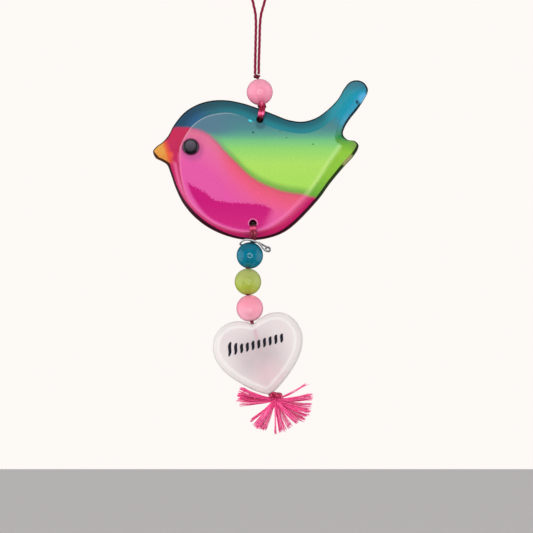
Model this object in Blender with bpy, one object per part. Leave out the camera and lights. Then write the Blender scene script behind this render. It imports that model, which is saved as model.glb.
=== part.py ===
"""Hanging suncatcher: a bevelled glass bird on a doubled floss cord, with round beads,
a bent wire clip, a frosted heart and a tassel.

Metres, +Z up. The front faces -Y. The origin is where a hook carries the hanging loop.
"""
import math

import bmesh
import bpy
from mathutils import Matrix, Vector

MM = 0.001

# Places, in millimetres from the hook
TOP_KNOT = (-0.7, 0.0, -36.1)
BEAD_TOP = (0.4, 0.0, -42.2)
UPPER_HOLE = (0.5, 0.0, -53.6)
LOWER_HOLE = (-2.1, 0.0, -94.0)
EYE = (-25.8, -3.05, -64.4)
BEAD_TEAL = (-3.3, 0.0, -105.75)
BEAD_LIME = (-4.0, 0.0, -115.8)
BEAD_PINK = (-3.3, 0.0, -125.85)
HEART_NOTCH = (-1.9, 0.0, -131.75)
TASSEL_KNOT = (6.3, 0.0, -158.6)

# Sizes, in millimetres
BEAD_DIAMETER = 10.0
BEAD_BORE = 2.2
BEAD_CHAMFER = 0.2
BIRD_THICKNESS = 5.5
BIRD_HOLE = 2.8
COUNTERSINK = 0.5
CUTTER_REACH = 1.0
EYE_DIAMETER = 6.1
EYE_HEIGHT = 1.1
HEART_THICKNESS = 6.0
HEART_TIP_DROP = 26.9
HEART_BORE = 2.0
LOOP_CORD = 1.1
WIRE_DIAMETER = 0.7

# Tilts, in degrees, turning clockwise as seen from the front
BEAD_TOP_TILT = -9.5
BEAD_TEAL_TILT = 9.0
BEAD_LIME_TILT = 0.0
BEAD_PINK_TILT = -8.5
HEART_TILT = -12.5
HEART_TURN = -6.0

# Bird outline seen from the front, in millimetres from the upper hole, from the beak over
# the back: each pair is a point of the rim and the point of the bevel's ridge that faces it.
BIRD_STATIONS = (
    ((-40.8, -12.1), (-30.5, -13.2)),
    ((-39.7, -10.4), (-30.4, -12.3)),
    ((-37.1, -8.4), (-30.3, -11.1)),
    ((-35.1, -6.0), (-29.8, -9.7)),
    ((-32.9, -1.8), (-28.1, -6.2)),
    ((-29.0, 3.1), (-25.3, -2.3)),
    ((-24.2, 6.2), (-21.5, 0.4)),
    ((-18.8, 7.8), (-17.0, 1.9)),
    ((-13.0, 8.0), (-12.0, 2.3)),
    ((-7.0, 6.9), (-7.2, 1.3)),
    ((-0.9, 4.9), (-1.5, -1.0)),
    ((5.4, 2.4), (4.2, -3.1)),
    ((11.1, 0.2), (10.3, -4.9)),
    ((16.5, -0.4), (16.4, -5.6)),
    ((21.6, 1.1), (21.9, -4.3)),
    ((26.1, 4.4), (26.7, -0.8)),
    ((29.9, 8.4), (30.6, 4.3)),
    ((32.6, 13.0), (33.8, 8.7)),
    ((34.6, 15.2), (35.2, 10.0)),
    ((37.3, 15.9), (36.2, 10.4)),
    ((40.0, 14.9), (36.9, 10.0)),
    ((41.5, 12.1), (36.9, 9.1)),
    ((40.2, 9.1), (35.5, 6.7)),
    ((37.6, 5.0), (33.2, 3.4)),
    ((34.6, 1.2), (30.9, -0.2)),
    ((32.4, -2.5), (29.1, -4.5)),
    ((31.8, -5.6), (28.6, -7.6)),
    ((33.6, -7.6), (29.3, -9.1)),
    ((36.3, -8.1), (30.4, -9.6)),
    ((37.7, -9.8), (30.7, -10.2)),
    ((36.1, -13.1), (30.1, -11.5)),
    ((32.3, -17.4), (27.0, -15.9)),
    ((27.1, -23.7), (22.4, -23.1)),
    ((21.9, -30.8), (17.2, -30.1)),
    ((10.3, -42.3), (6.1, -40.5)),
    ((3.0, -45.3), (0.1, -43.0)),
    ((-4.4, -46.0), (-6.2, -43.5)),
    ((-11.7, -44.7), (-12.4, -42.2)),
    ((-18.9, -41.6), (-18.2, -39.6)),
    ((-24.8, -37.2), (-23.2, -35.6)),
    ((-29.3, -31.8), (-26.8, -31.2)),
    ((-32.3, -25.6), (-28.9, -26.2)),
    ((-34.1, -20.4), (-30.0, -21.0)),
    ((-35.6, -16.8), (-30.4, -17.1)),
    ((-37.8, -15.3), (-30.5, -15.1)),
    ((-40.0, -14.1), (-30.5, -14.1)),
)

# Right half of the heart, in millimetres from its notch, down to the tip: rim and ridge
HEART_STATIONS = (
    ((0.0, 0.0), (0.0, -2.1)),
    ((2.6, 1.3), (2.3, -1.0)),
    ((6.9, 2.45), (6.7, 0.1)),
    ((11.5, 1.6), (10.4, -0.6)),
    ((15.4, -1.8), (13.4, -3.2)),
    ((17.0, -7.4), (14.6, -7.6)),
    ((15.3, -13.6), (13.3, -12.4)),
    ((10.6, -19.6), (9.1, -17.8)),
    ((5.2, -24.2), (4.0, -22.2)),
    ((1.7, -26.4), (1.0, -24.3)),
    ((0.0, -26.9), (0.0, -24.7)),
)

# Section of a bevelled plate from its back to its front. Each ring of points lies inside the
# rim by millimetres plus a share of the way to the ridge, at a share of the half thickness.
BIRD_SECTION = (
    (1.2, 0.0, 1.0),
    (0.5, 0.0, 0.95),
    (0.12, 0.0, 0.8),
    (0.0, 0.0, 0.62),
    (0.0, 0.0, -0.22),
    (0.15, 0.0, -0.38),
    (0.55, 0.0, -0.51),
    (-0.45, 1.0, -0.93),
    (0.0, 1.0, -1.0),
)
HEART_SECTION = (
    (0.0, 1.0, 1.0),
    (-0.5, 1.0, 0.95),
    (0.6, 0.0, 0.68),
    (0.15, 0.0, 0.57),
    (0.0, 0.0, 0.43),
    (0.0, 0.0, -0.43),
    (0.15, 0.0, -0.57),
    (0.6, 0.0, -0.68),
    (-0.5, 1.0, -0.95),
    (0.0, 1.0, -1.0),
)

# Hanging loop, in millimetres from the hook: up one leg, over the hook and down the other
LOOP_ROUTE = (
    (-1.4, 0.0, -35.0),
    (-1.35, 0.0, -30.0),
    (-1.2, 0.0, -22.0),
    (-1.1, 0.0, -15.0),
    (-1.3, 0.0, -11.0),
    (-2.0, 0.0, -7.4),
    (-2.6, 0.0, -4.4),
    (-2.5, 0.0, -1.6),
    (-1.5, 0.0, 0.1),
    (0.0, 0.0, 0.55),
    (1.5, 0.0, 0.1),
    (2.5, 0.0, -1.6),
    (2.6, 0.0, -4.4),
    (1.9, 0.0, -7.4),
    (0.95, 0.0, -11.0),
    (0.5, 0.0, -15.0),
    (0.3, 0.0, -22.0),
    (0.05, 0.0, -30.0),
    (0.0, 0.0, -35.0),
)

# Doubled cord of the upper hitch, from the top bead down the front, through the hole and up
# the back: place from the upper hole, half width and half thickness, all in millimetres
UPPER_LEGS = (
    ((-0.95, 0.0, 16.35), 0.75, 0.6),
    ((-0.13, 0.0, 11.4), 0.75, 0.6),
    ((0.62, 0.0, 7.0), 0.8, 0.6),
    ((0.78, -0.35, 6.0), 0.95, 0.55),
    ((0.85, -1.7, 5.4), 1.15, 0.6),
    ((0.85, -2.6, 4.4), 1.2, 0.6),
    ((0.72, -2.85, 3.0), 1.25, 0.6),
    ((0.5, -3.05, 1.6), 1.25, 0.6),
    ((0.3, -2.95, 0.8), 1.15, 0.55),
    ((0.1, -2.3, 0.35), 1.02, 0.5),
    ((0.0, 0.0, 0.3), 1.0, 0.5),
    ((0.1, 2.3, 0.35), 1.02, 0.5),
    ((0.3, 3.1, 0.8), 1.1, 0.55),
    ((0.5, 3.65, 1.6), 1.2, 0.6),
    ((0.65, 3.7, 3.2), 1.2, 0.6),
    ((0.7, 3.4, 4.6), 1.2, 0.6),
    ((0.7, 2.7, 5.5), 1.1, 0.55),
)
# The bight of the hitch, which comes over the bird's edge and crosses the legs in front
UPPER_BIGHT = (
    ((0.2, 2.9, 5.3), 0.5),
    ((-0.3, 1.4, 5.8), 0.45),
    ((-0.5, -0.8, 5.8), 0.45),
    ((-0.5, -2.4, 5.45), 0.5),
    ((-0.05, -3.3, 5.35), 0.6),
    ((0.75, -3.7, 5.5), 0.7),
    ((1.55, -3.3, 5.25), 0.6),
    ((1.95, -2.4, 4.9), 0.5),
    ((1.95, -0.8, 5.4), 0.45),
    ((1.7, 1.4, 5.6), 0.45),
    ((1.2, 2.9, 5.3), 0.5),
)

# Doubled cord in the lower hole, measured from it in the same way
LOWER_LEGS = (
    ((-0.4, -0.5, -8.3), 0.6, 0.4),
    ((-0.3, -0.6, -7.05), 0.75, 0.4),
    ((-0.05, -1.7, -6.35), 1.1, 0.5),
    ((0.1, -2.8, -5.1), 1.2, 0.6),
    ((0.1, -3.4, -3.8), 1.25, 0.6),
    ((0.05, -3.55, -2.4), 1.25, 0.6),
    ((0.0, -3.4, -1.3), 1.2, 0.6),
    ((0.0, -2.95, -0.7), 1.1, 0.55),
    ((0.0, -2.2, -0.35), 1.02, 0.5),
    ((0.0, 0.0, -0.3), 1.0, 0.5),
    ((0.0, 2.2, -0.35), 1.02, 0.5),
    ((0.0, 3.1, -0.8), 1.1, 0.55),
    ((0.0, 3.65, -1.6), 1.2, 0.6),
    ((0.0, 3.7, -3.1), 1.2, 0.6),
    ((0.0, 3.4, -4.8), 1.2, 0.6),
    ((-0.1, 2.5, -5.9), 1.1, 0.5),
    ((-0.15, 1.5, -6.55), 0.95, 0.4),
    ((-0.3, 0.6, -7.1), 0.75, 0.4),
    ((-0.4, 0.5, -8.3), 0.6, 0.4),
)
# The single bundle below it, in millimetres from the hook, with its half width
LOWER_BUNDLE = (
    ((-2.45, 0.0, -101.4), 0.75),
    ((-3.3, 0.0, -105.75), 0.75),
    ((-4.05, 0.0, -110.7), 0.75),
    ((-4.0, 0.0, -115.8), 0.75),
    ((-4.0, 0.0, -120.8), 0.75),
    ((-3.3, 0.0, -125.85), 0.75),
    ((-2.55, 0.0, -130.7), 0.7),
    ((-1.9, 0.0, -132.4), 0.6),
    ((-1.2, 0.0, -135.0), 0.6),
    ((1.2, 0.0, -145.7), 0.6),
    ((3.9, 0.0, -157.8), 0.6),
)

# Wire clip, in millimetres from the hook: the back leg, the round left end, the front leg
# over the teal bead's shoulder, then the coil at its end
WIRE_ROUTE = (
    (3.9, 1.5, -102.7),
    (2.8, 2.2, -102.0),
    (1.2, 3.0, -101.0),
    (-0.6, 3.6, -100.1),
    (-3.2, 3.7, -100.5),
    (-5.6, 2.8, -101.2),
    (-6.7, 1.2, -101.5),
    (-6.9, -0.6, -101.3),
    (-6.3, -2.2, -100.8),
    (-5.0, -3.0, -100.3),
    (-3.4, -3.2, -100.4),
    (-1.6, -3.2, -100.8),
    (-0.2, -3.0, -101.4),
    (0.9, -2.7, -102.3),
    (1.7, -2.4, -103.4),
    (2.6, -2.1, -104.3),
)
COIL_CENTRE = (3.5, -1.2, -103.6)
COIL_RADIUS = 0.85
COIL_PITCH = 1.1
COIL_TURNS = 1.6
COIL_START = -140.0

# Knots: centre of each rounded lump from the knot's place, and its radii, in millimetres
TOP_KNOT_LUMPS = (
    ((-0.5, 0.0, 0.1), (0.65, 0.9, 0.7)),
    ((0.45, 0.1, 0.15), (0.7, 0.85, 0.65)),
    ((-0.1, -0.2, -0.25), (0.75, 0.8, 0.5)),
)
TASSEL_KNOT_LUMPS = (
    ((-1.7, 0.0, -0.3), (1.2, 1.3, 0.8)),
    ((0.1, -0.3, 0.55), (1.15, 1.5, 0.95)),
    ((1.4, 0.1, -0.25), (1.05, 1.3, 0.8)),
)

# Tufts of the tassel, from its core: direction in degrees from straight down towards +X,
# length, half width at the end, and how far the end leans back, in millimetres
TUFTS = (
    (-109.0, 14.0, 0.9, -0.9),
    (-97.5, 14.2, 1.0, 0.7),
    (-86.5, 13.1, 0.5, -1.5),
    (-53.5, 11.7, 0.55, 1.2),
    (-38.5, 11.8, 1.0, -0.6),
    (-26.0, 11.3, 1.0, 0.9),
    (0.5, 11.7, 0.5, -1.4),
    (15.0, 11.3, 1.2, 0.4),
    (32.0, 10.9, 0.8, 1.8),
    (49.0, 11.2, 0.9, -1.2),
    (61.5, 12.8, 1.2, 0.6),
    (72.0, 13.5, 1.1, -0.8),
    (84.5, 13.6, 0.7, 1.4),
    (99.0, 14.1, 1.0, -0.5),
    (119.0, 14.1, 0.4, -1.7),
)
TUFT_START = 0.6
TUFT_STAGGER = 0.03
TUFT_SAG = 0.7
TUFT_ROOT = 0.35
TUFT_THICKNESS = 0.5
TASSEL_CORE = (6.2, 0.0, -161.0)
TASSEL_CORE_RADII = (1.7, 1.5, 0.9)

# Colour, roughness and metallic value of each material
MATERIALS = {
    "floss": ((0.46, 0.02, 0.10), 0.35, 0.0),
    "bird_glass": ((0.70, 0.10, 0.30), 0.08, 0.0),
    "eye_black": ((0.01, 0.01, 0.012), 0.10, 0.0),
    "bead_rose": ((0.92, 0.36, 0.46), 0.15, 0.0),
    "bead_teal": ((0.0, 0.15, 0.24), 0.12, 0.0),
    "bead_lime": ((0.40, 0.47, 0.12), 0.15, 0.0),
    "heart_frost": ((0.78, 0.68, 0.70), 0.45, 0.0),
    "silver_wire": ((0.72, 0.72, 0.74), 0.22, 1.0),
}


def clear_scene():
    for item in list(bpy.data.objects):
        bpy.data.objects.remove(item, do_unlink=True)


def material(name):
    """The named material, made once."""
    found = bpy.data.materials.get(name)
    if found:
        return found
    colour, roughness, metallic = MATERIALS[name]
    made = bpy.data.materials.new(name)
    made.use_nodes = True
    shader = made.node_tree.nodes["Principled BSDF"]
    shader.inputs["Base Color"].default_value = (*colour, 1.0)
    shader.inputs["Roughness"].default_value = roughness
    shader.inputs["Metallic"].default_value = metallic
    return made


def add_object(name, bm, material_name, place=(0.0, 0.0, 0.0), sharp=40.0):
    """Turn a bmesh in millimetres into an object in metres at a place in millimetres."""
    bmesh.ops.scale(bm, vec=(MM, MM, MM), verts=bm.verts)
    bmesh.ops.recalc_face_normals(bm, faces=bm.faces)
    mesh = bpy.data.meshes.new(name)
    bm.to_mesh(mesh)
    bm.free()
    mesh.shade_smooth()
    mesh.set_sharp_from_angle(angle=math.radians(sharp))
    mesh.materials.append(material(material_name))
    made = bpy.data.objects.new(name, mesh)
    made.location = Vector(place) * MM
    bpy.context.collection.objects.link(made)
    return made


def hide_helper(helper):
    """Mark a cutter or a merged shape as construction only."""
    helper.hide_render = True
    helper.display_type = "WIRE"


def combine(target, helper, operation):
    """Cut a helper from a piece, or merge it in."""
    modifier = target.modifiers.new(helper.name, "BOOLEAN")
    modifier.operation = operation
    modifier.solver = "EXACT"
    modifier.object = helper
    hide_helper(helper)


def blend(first, second, start, end, time):
    """The point between two others at a time between theirs."""
    share = (time - start) / (end - start)
    return first + (second - first) * share


def spline_point(near, times, time):
    """A point of the Catmull-Rom curve from the second to the third of four points."""
    first = [blend(near[i], near[i + 1], times[i], times[i + 1], time) for i in range(3)]
    second = [blend(first[i], first[i + 1], times[i], times[i + 2], time) for i in range(2)]
    return blend(second[0], second[1], times[1], times[2], time)


def spline(points, samples, closed=False):
    """Points on a centripetal Catmull-Rom curve through the given ones."""
    knots = [Vector(point) for point in points]
    if closed:
        knots = [knots[-1]] + knots + knots[:2]
    else:
        knots = [knots[0] * 2 - knots[1]] + knots + [knots[-1] * 2 - knots[-2]]
    result = []
    for index in range(len(knots) - 3):
        near = knots[index:index + 4]
        times = [0.0]
        for first, second in zip(near, near[1:]):
            times.append(times[-1] + max((second - first).length, 1e-6) ** 0.5)
        for step in range(samples):
            time = times[1] + (times[2] - times[1]) * step / samples
            result.append(spline_point(near, times, time))
    if not closed:
        result.append(knots[-2])
    return result


def ring_faces(bm, lower, upper):
    """Join two rings of points with four-sided faces."""
    count = len(lower)
    for i in range(count):
        j = (i + 1) % count
        bm.faces.new((lower[i], lower[j], upper[j], upper[i]))


def skin(rings, closed=False):
    """A closed body through a row of rings, with flat caps, or joined end to end."""
    bm = bmesh.new()
    made = [[bm.verts.new(point) for point in ring] for ring in rings]
    for lower, upper in zip(made, made[1:]):
        ring_faces(bm, lower, upper)
    if closed:
        ring_faces(bm, made[-1], made[0])
    else:
        bm.faces.new(made[0])
        bm.faces.new(made[-1])
    return bm


def plate(stations, section, thickness, samples):
    """A bevelled plate: rim and ridge curves joined by the rings of a section."""
    rims = spline([(rim[0], 0.0, rim[1]) for rim, ridge in stations], samples, closed=True)
    ridges = spline([(ridge[0], 0.0, ridge[1]) for rim, ridge in stations], samples, closed=True)
    rings = []
    for inset, share, depth in section:
        ring = []
        for rim, ridge in zip(rims, ridges):
            width = (ridge - rim).length
            point = rim.lerp(ridge, inset / width + share)
            ring.append((point.x, depth * thickness / 2, point.z))
        rings.append(ring)
    return skin(rings)


def lathe(profile, segments, closed=False):
    """A body turned round Z from (radius, height) points. Open profiles end on the axis."""
    rings = []
    body = profile if closed else profile[1:-1]
    for radius, height in body:
        ring = []
        for step in range(segments):
            angle = 2.0 * math.pi * step / segments
            ring.append((radius * math.cos(angle), radius * math.sin(angle), height))
        rings.append(ring)
    if closed:
        return skin(rings, closed=True)
    bm = bmesh.new()
    made = [[bm.verts.new(point) for point in ring] for ring in rings]
    for lower, upper in zip(made, made[1:]):
        ring_faces(bm, lower, upper)
    for ring, (radius, height) in ((made[0], profile[0]), (made[-1], profile[-1])):
        pole = bm.verts.new((0.0, 0.0, height))
        for i in range(segments):
            bm.faces.new((ring[i], ring[(i + 1) % segments], pole))
    return bm


def cord_section(half_width, half_thickness, sides):
    """Outline of two strands side by side, or one round strand when both sizes agree."""
    groove = 0.35 * (1.0 - half_thickness / half_width)
    points = []
    for step in range(sides):
        angle = 2.0 * math.pi * step / sides
        across = math.cos(angle)
        dip = 1.0 - groove * max(0.0, 1.0 - abs(across) / 0.5)
        points.append((half_width * across, half_thickness * math.sin(angle) * dip))
    return points


def sweep(route, samples, sides, first_side):
    """A tube along a route of (place, half width, half thickness)."""
    centres = spline([place for place, width, thickness in route], samples)
    sizes = spline([(width, thickness, 0.0) for place, width, thickness in route], samples)
    side = Vector(first_side)
    rings = []
    last = len(centres) - 1
    for i, centre in enumerate(centres):
        along = (centres[min(i + 1, last)] - centres[max(i - 1, 0)]).normalized()
        side = (side - along * side.dot(along)).normalized()
        other = along.cross(side)
        outline = cord_section(sizes[i].x, sizes[i].y, sides)
        rings.append([centre + side * across + other * out for across, out in outline])
    return skin(rings)


def round_route(route):
    """Give each (place, half width) the same half thickness."""
    return [(place, half, half) for place, half in route]


def lump(radii, segments, levels):
    """An egg-shaped body with three radii."""
    profile = []
    for step in range(levels + 1):
        angle = math.pi * step / levels
        profile.append((math.sin(angle), -math.cos(angle)))
    bm = lathe(profile, segments)
    bmesh.ops.scale(bm, vec=radii, verts=bm.verts)
    return bm


def knot(name, place, lumps):
    """A tied knot, as rounded lumps merged into one body."""
    whole = None
    for index, (offset, radii) in enumerate(lumps):
        centre = Vector(place) + Vector(offset)
        label = name if whole is None else f"{name}_lump_{index}"
        piece = add_object(label, lump(radii, 10, 6), "floss", centre)
        if whole is None:
            whole = piece
        else:
            combine(whole, piece, "UNION")
    return whole


def make_bird():
    body = plate(BIRD_STATIONS, BIRD_SECTION, BIRD_THICKNESS, 2)
    bird = add_object("bird_glass", body, "bird_glass", UPPER_HOLE)
    half = BIRD_THICKNESS / 2
    wide = BIRD_HOLE / 2 + COUNTERSINK
    profile = (
        (0.0, -half - CUTTER_REACH),
        (wide + CUTTER_REACH, -half - CUTTER_REACH),
        (wide, -half),
        (BIRD_HOLE / 2, -half + COUNTERSINK),
        (BIRD_HOLE / 2, half - COUNTERSINK),
        (wide, half),
        (wide + CUTTER_REACH, half + CUTTER_REACH),
        (0.0, half + CUTTER_REACH),
    )
    for label, place in (("upper", UPPER_HOLE), ("lower", LOWER_HOLE)):
        cutter = add_object(f"bird_{label}_hole", lathe(profile, 16), "bird_glass", place)
        cutter.rotation_euler.x = math.radians(90.0)
        combine(bird, cutter, "DIFFERENCE")
    return bird


def make_eye():
    radius = EYE_DIAMETER / 2
    profile = [(0.0, 0.0), (radius, 0.0)]
    for share in (0.96, 0.86, 0.68, 0.4):
        profile.append((radius * share, EYE_HEIGHT * (1.0 - share ** 2) ** 0.55))
    profile.append((0.0, EYE_HEIGHT))
    eye = add_object("bird_eye", lathe(profile, 24), "eye_black", EYE, sharp=60.0)
    eye.rotation_euler.x = math.radians(90.0)
    return eye


def make_bead(name, material_name, place, tilt):
    radius = BEAD_DIAMETER / 2
    bore = BEAD_BORE / 2
    start = math.asin((bore + BEAD_CHAMFER) / radius)
    steps = 10
    profile = []
    for step in range(steps + 1):
        angle = start + (math.pi - 2.0 * start) * step / steps
        profile.append((radius * math.sin(angle), radius * math.cos(angle)))
    end = radius * math.cos(start) - BEAD_CHAMFER
    profile.append((bore, -end))
    profile.append((bore, end))
    bead = add_object(name, lathe(profile, 16, closed=True), material_name, place)
    bead.rotation_euler.y = math.radians(tilt)
    return bead


def heart_turn():
    """Turn of the heart: about its own cord, then in the picture plane."""
    turn = Matrix.Rotation(math.radians(HEART_TURN), 3, "Z")
    tilt = Matrix.Rotation(math.radians(HEART_TILT), 3, "Y")
    return (tilt @ turn).to_euler()


def make_heart():
    left = [((-rim[0], rim[1]), (-ridge[0], ridge[1])) for rim, ridge in HEART_STATIONS[-2:0:-1]]
    stations = list(HEART_STATIONS) + left
    body = plate(stations, HEART_SECTION, HEART_THICKNESS, 2)
    heart = add_object("heart_glass", body, "heart_frost", HEART_NOTCH)
    heart.rotation_euler = heart_turn()
    radius = HEART_BORE / 2
    profile = (
        (0.0, -HEART_TIP_DROP - CUTTER_REACH),
        (radius, -HEART_TIP_DROP - CUTTER_REACH),
        (radius, CUTTER_REACH),
        (0.0, CUTTER_REACH),
    )
    drill = add_object("heart_drill", lathe(profile, 12), "heart_frost", HEART_NOTCH)
    drill.rotation_euler = heart_turn()
    combine(heart, drill, "DIFFERENCE")
    return heart


def make_hanging_loop():
    """The free cord, a curve with round section and filled caps."""
    curve = bpy.data.curves.new("hanging_loop", "CURVE")
    curve.dimensions = "3D"
    curve.bevel_depth = LOOP_CORD / 2 * MM
    curve.bevel_resolution = 2
    curve.use_fill_caps = True
    points = spline(LOOP_ROUTE, 2)
    line = curve.splines.new("POLY")
    line.points.add(len(points) - 1)
    for target, point in zip(line.points, points):
        target.co = (*(point * MM), 1.0)
    curve.materials.append(material("floss"))
    made = bpy.data.objects.new("hanging_loop", curve)
    bpy.context.collection.objects.link(made)
    return made


def make_upper_hitch():
    legs = add_object("upper_hitch", sweep(UPPER_LEGS, 2, 10, (1, 0, 0)), "floss", UPPER_HOLE)
    route = round_route(UPPER_BIGHT)
    bight = add_object("upper_bight", sweep(route, 2, 8, (0, 0, 1)), "floss", UPPER_HOLE)
    combine(legs, bight, "UNION")
    return legs


def make_lower_cord():
    route = round_route(LOWER_BUNDLE)
    cord = add_object("lower_cord", sweep(route, 1, 10, (1, 0, 0)), "floss")
    legs = add_object("lower_legs", sweep(LOWER_LEGS, 2, 10, (1, 0, 0)), "floss", LOWER_HOLE)
    combine(cord, legs, "UNION")
    return cord


def make_wire_clip():
    radius = WIRE_DIAMETER / 2
    centre = Vector(COIL_CENTRE)
    route = spline(WIRE_ROUTE, 2)
    steps = 14
    for step in range(2, steps + 1):
        turn = COIL_TURNS * step / steps
        angle = math.radians(COIL_START) + 2.0 * math.pi * turn
        offset = Vector((math.cos(angle), 0.0, math.sin(angle))) * COIL_RADIUS
        offset.y = -COIL_PITCH * (turn - COIL_TURNS / 2)
        route.append(centre + offset)
    wire = sweep([(place, radius, radius) for place in route], 1, 8, (0, 0, 1))
    return add_object("wire_clip", wire, "silver_wire")


def make_tassel():
    """Frayed ends of the cord, spread in a flat fan below its knot."""
    core = add_object("tassel", lump(TASSEL_CORE_RADII, 12, 8), "floss", TASSEL_CORE)
    for index, (degrees, length, half_end, lean) in enumerate(TUFTS):
        angle = math.radians(degrees)
        out = Vector((math.sin(angle), 0.0, -math.cos(angle)))
        side = Vector((math.cos(angle), 0.0, math.sin(angle)))
        start = TUFT_START + TUFT_STAGGER * index
        route = []
        for share in (0.0, 0.5, 1.0):
            centre = out * (start + (length - start) * share)
            centre.y = lean * (0.3 + 0.7 * share)
            centre.z -= TUFT_SAG * math.sin(math.pi * share)
            half = TUFT_ROOT + (half_end - TUFT_ROOT) * share
            thickness = TUFT_ROOT + (TUFT_THICKNESS - TUFT_ROOT) * share
            route.append((centre, half, thickness))
        tuft = add_object(f"tuft_{index}", sweep(route, 1, 6, side), "floss", TASSEL_CORE)
        combine(core, tuft, "UNION")
    return core


def build():
    clear_scene()
    root = bpy.data.objects.new("suncatcher", None)
    bpy.context.collection.objects.link(root)
    pieces = [
        make_hanging_loop(),
        knot("top_knot", TOP_KNOT, TOP_KNOT_LUMPS),
        make_bead("bead_top", "bead_rose", BEAD_TOP, BEAD_TOP_TILT),
        make_upper_hitch(),
        make_bird(),
        make_eye(),
        make_lower_cord(),
        make_wire_clip(),
        make_bead("bead_teal", "bead_teal", BEAD_TEAL, BEAD_TEAL_TILT),
        make_bead("bead_lime", "bead_lime", BEAD_LIME, BEAD_LIME_TILT),
        make_bead("bead_pink", "bead_rose", BEAD_PINK, BEAD_PINK_TILT),
        make_heart(),
        knot("tassel_knot", TASSEL_KNOT, TASSEL_KNOT_LUMPS),
        make_tassel(),
    ]
    for piece in pieces:
        piece.parent = root


build()
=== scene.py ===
"""Looks of a hanging glass suncatcher: a bevelled glass bird with round beads, a frosted heart
and a tassel, on a doubled floss cord.

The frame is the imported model's: metres, +Z up, the front faces -Y, and the origin is where a
hook carries the hanging loop. Named sizes and places are in millimetres unless they say otherwise.
"""
import random
from math import asin, cos, exp, hypot, pi, radians, sin, sqrt

import bmesh
import bpy
import numpy as np
from mathutils import Matrix, Vector
from mathutils.bvhtree import BVHTree
from mathutils.geometry import delaunay_2d_cdt
from mathutils.interpolate import poly_3d_calc


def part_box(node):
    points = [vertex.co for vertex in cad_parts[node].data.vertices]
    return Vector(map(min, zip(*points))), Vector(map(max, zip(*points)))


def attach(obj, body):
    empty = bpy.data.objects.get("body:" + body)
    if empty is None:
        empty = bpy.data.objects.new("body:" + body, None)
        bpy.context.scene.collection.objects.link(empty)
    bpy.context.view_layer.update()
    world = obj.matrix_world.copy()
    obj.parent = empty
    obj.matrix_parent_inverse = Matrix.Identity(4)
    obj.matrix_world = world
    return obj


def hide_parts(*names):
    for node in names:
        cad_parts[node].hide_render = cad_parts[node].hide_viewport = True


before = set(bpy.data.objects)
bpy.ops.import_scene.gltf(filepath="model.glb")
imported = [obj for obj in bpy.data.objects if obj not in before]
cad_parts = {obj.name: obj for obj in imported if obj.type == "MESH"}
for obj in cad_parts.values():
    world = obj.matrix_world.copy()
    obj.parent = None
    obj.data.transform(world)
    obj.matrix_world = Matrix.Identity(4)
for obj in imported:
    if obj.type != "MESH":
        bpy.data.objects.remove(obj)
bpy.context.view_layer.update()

MM = 0.001
RNG = random.Random(7)

# Camera, in metres and degrees
CAMERA_PLACE = Vector((0.003, -0.4977, -0.1817))
CAMERA_PITCH = 98.2
CAMERA_LENS = 90
CAMERA_SENSOR = 36

# Lights, in metres
LIGHT_TARGET = Vector((0, 0, -0.1))
RING_SIZE = 0.42
WARM = (1, 0.98, 0.95)
COOL = (0.95, 0.98, 1)

# Places shared with the solids
UPPER_HOLE = (0.5, 0, -53.6)
LOWER_HOLE = (-2.1, 0, -94)
EYE = (-25.8, -3.05, -64.4)
HEART_NOTCH = (-1.9, 0, -131.75)
TASSEL_CORE = (6.2, 0, -161)

# Sizes shared with the solids
BEAD_DIAMETER = 10
BEAD_BORE = 2.2
BEAD_MOUTH = 0.15
BIRD_THICKNESS = 5.5
BIRD_HOLE = 2.8
COUNTERSINK = 0.5
EYE_DIAMETER = 6.1
EYE_HEIGHT = 1.1
HEART_THICKNESS = 6
HEART_TIP_DROP = 26.9
HEART_BORE = 2
LOOP_CORD = 1.1
WIRE_DIAMETER = 0.7
BEAD_TILTS = {"bead_top": -9.5, "bead_teal": 9, "bead_lime": 0, "bead_pink": -8.5}
# Beads: node, slot and colours from the lower to the upper side, with painted light and shade
BEADS = (
    ("bead_top", "bead_rose", ("#ff9cbc", "#ffa6c1", "#fda9c2")),
    ("bead_teal", "bead_teal", ("#007992", "#007e9a", "#00677d")),
    ("bead_lime", "bead_lime", ("#b5c548", "#b5c463", "#b9c272")),
    ("bead_pink", "bead_rose", ("#ffbad0", "#ffa8be", "#fea0b9")),
)
HEART_TILT = -12.5
HEART_TURN = -6

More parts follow.
